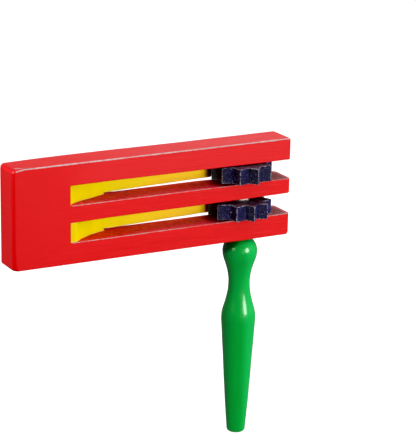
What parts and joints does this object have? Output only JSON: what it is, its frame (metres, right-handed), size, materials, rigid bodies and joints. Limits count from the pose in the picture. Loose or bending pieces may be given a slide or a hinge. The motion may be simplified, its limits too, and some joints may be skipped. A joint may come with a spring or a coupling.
{
  "type": "ratchet noisemaker",
  "caption": "Hand-held wooden ratchet noisemaker: a slotted frame with springy tongues whirls round toothed cogs on a turned handle.",
  "frame": {"origin": "on the axle's axis at the middle of the handle's grip", "axes": "+Z along the axle from the handle towards the frame; +X from the solid end of the frame towards its open end; +Y through the board towards its back"},
  "size_m": [0.171, 0.0354, 0.1761],
  "materials": {
    "red_paint": "semi-gloss red paint on sawn wood, worn pink along the edges",
    "yellow_paint": "satin yellow paint on wood",
    "navy_dye": "matt navy dye on sawn wood, speckled, pale along the worn edges",
    "brad_steel": "bright steel brad",
    "bare_wood": "bare pale wood",
    "green_gloss": "glossy green enamel on turned wood"
  },
  "bodies": {
    "handle_assembly": {"handle": "green_gloss", "axle_dowel": "bare_wood", "upper_cog": "navy_dye", "lower_cog": "navy_dye", "upper_cog_pin": "brad_steel", "lower_cog_pin": "brad_steel"},
    "frame": {"frame_block": "red_paint", "upper_tongue_root": "yellow_paint", "lower_tongue_root": "yellow_paint"},
    "upper_tongue": {"upper_tongue_blade": "yellow_paint"},
    "lower_tongue": {"lower_tongue_blade": "yellow_paint"}
  },
  "joints": [
    {"name": "frame_spin", "type": "hinge", "parent": "handle_assembly", "child": "frame", "pos_m": [0, 0, 0.088], "axis": [0, 0, 1], "continuous": true},
    {"name": "upper_tongue_flex", "type": "hinge", "parent": "frame", "child": "upper_tongue", "pos_m": [-0.08335, 0.0079, 0.0982], "axis": [0, 0, 1], "range_deg": [0, 5], "stiffness_Nm_per_rad": 2.3, "springref_deg": -3.44},
    {"name": "lower_tongue_flex", "type": "hinge", "parent": "frame", "child": "lower_tongue", "pos_m": [-0.08335, 0.0079, 0.0779], "axis": [0, 0, 1], "range_deg": [0, 5], "stiffness_Nm_per_rad": 2.3, "springref_deg": -3.44}
  ]
}
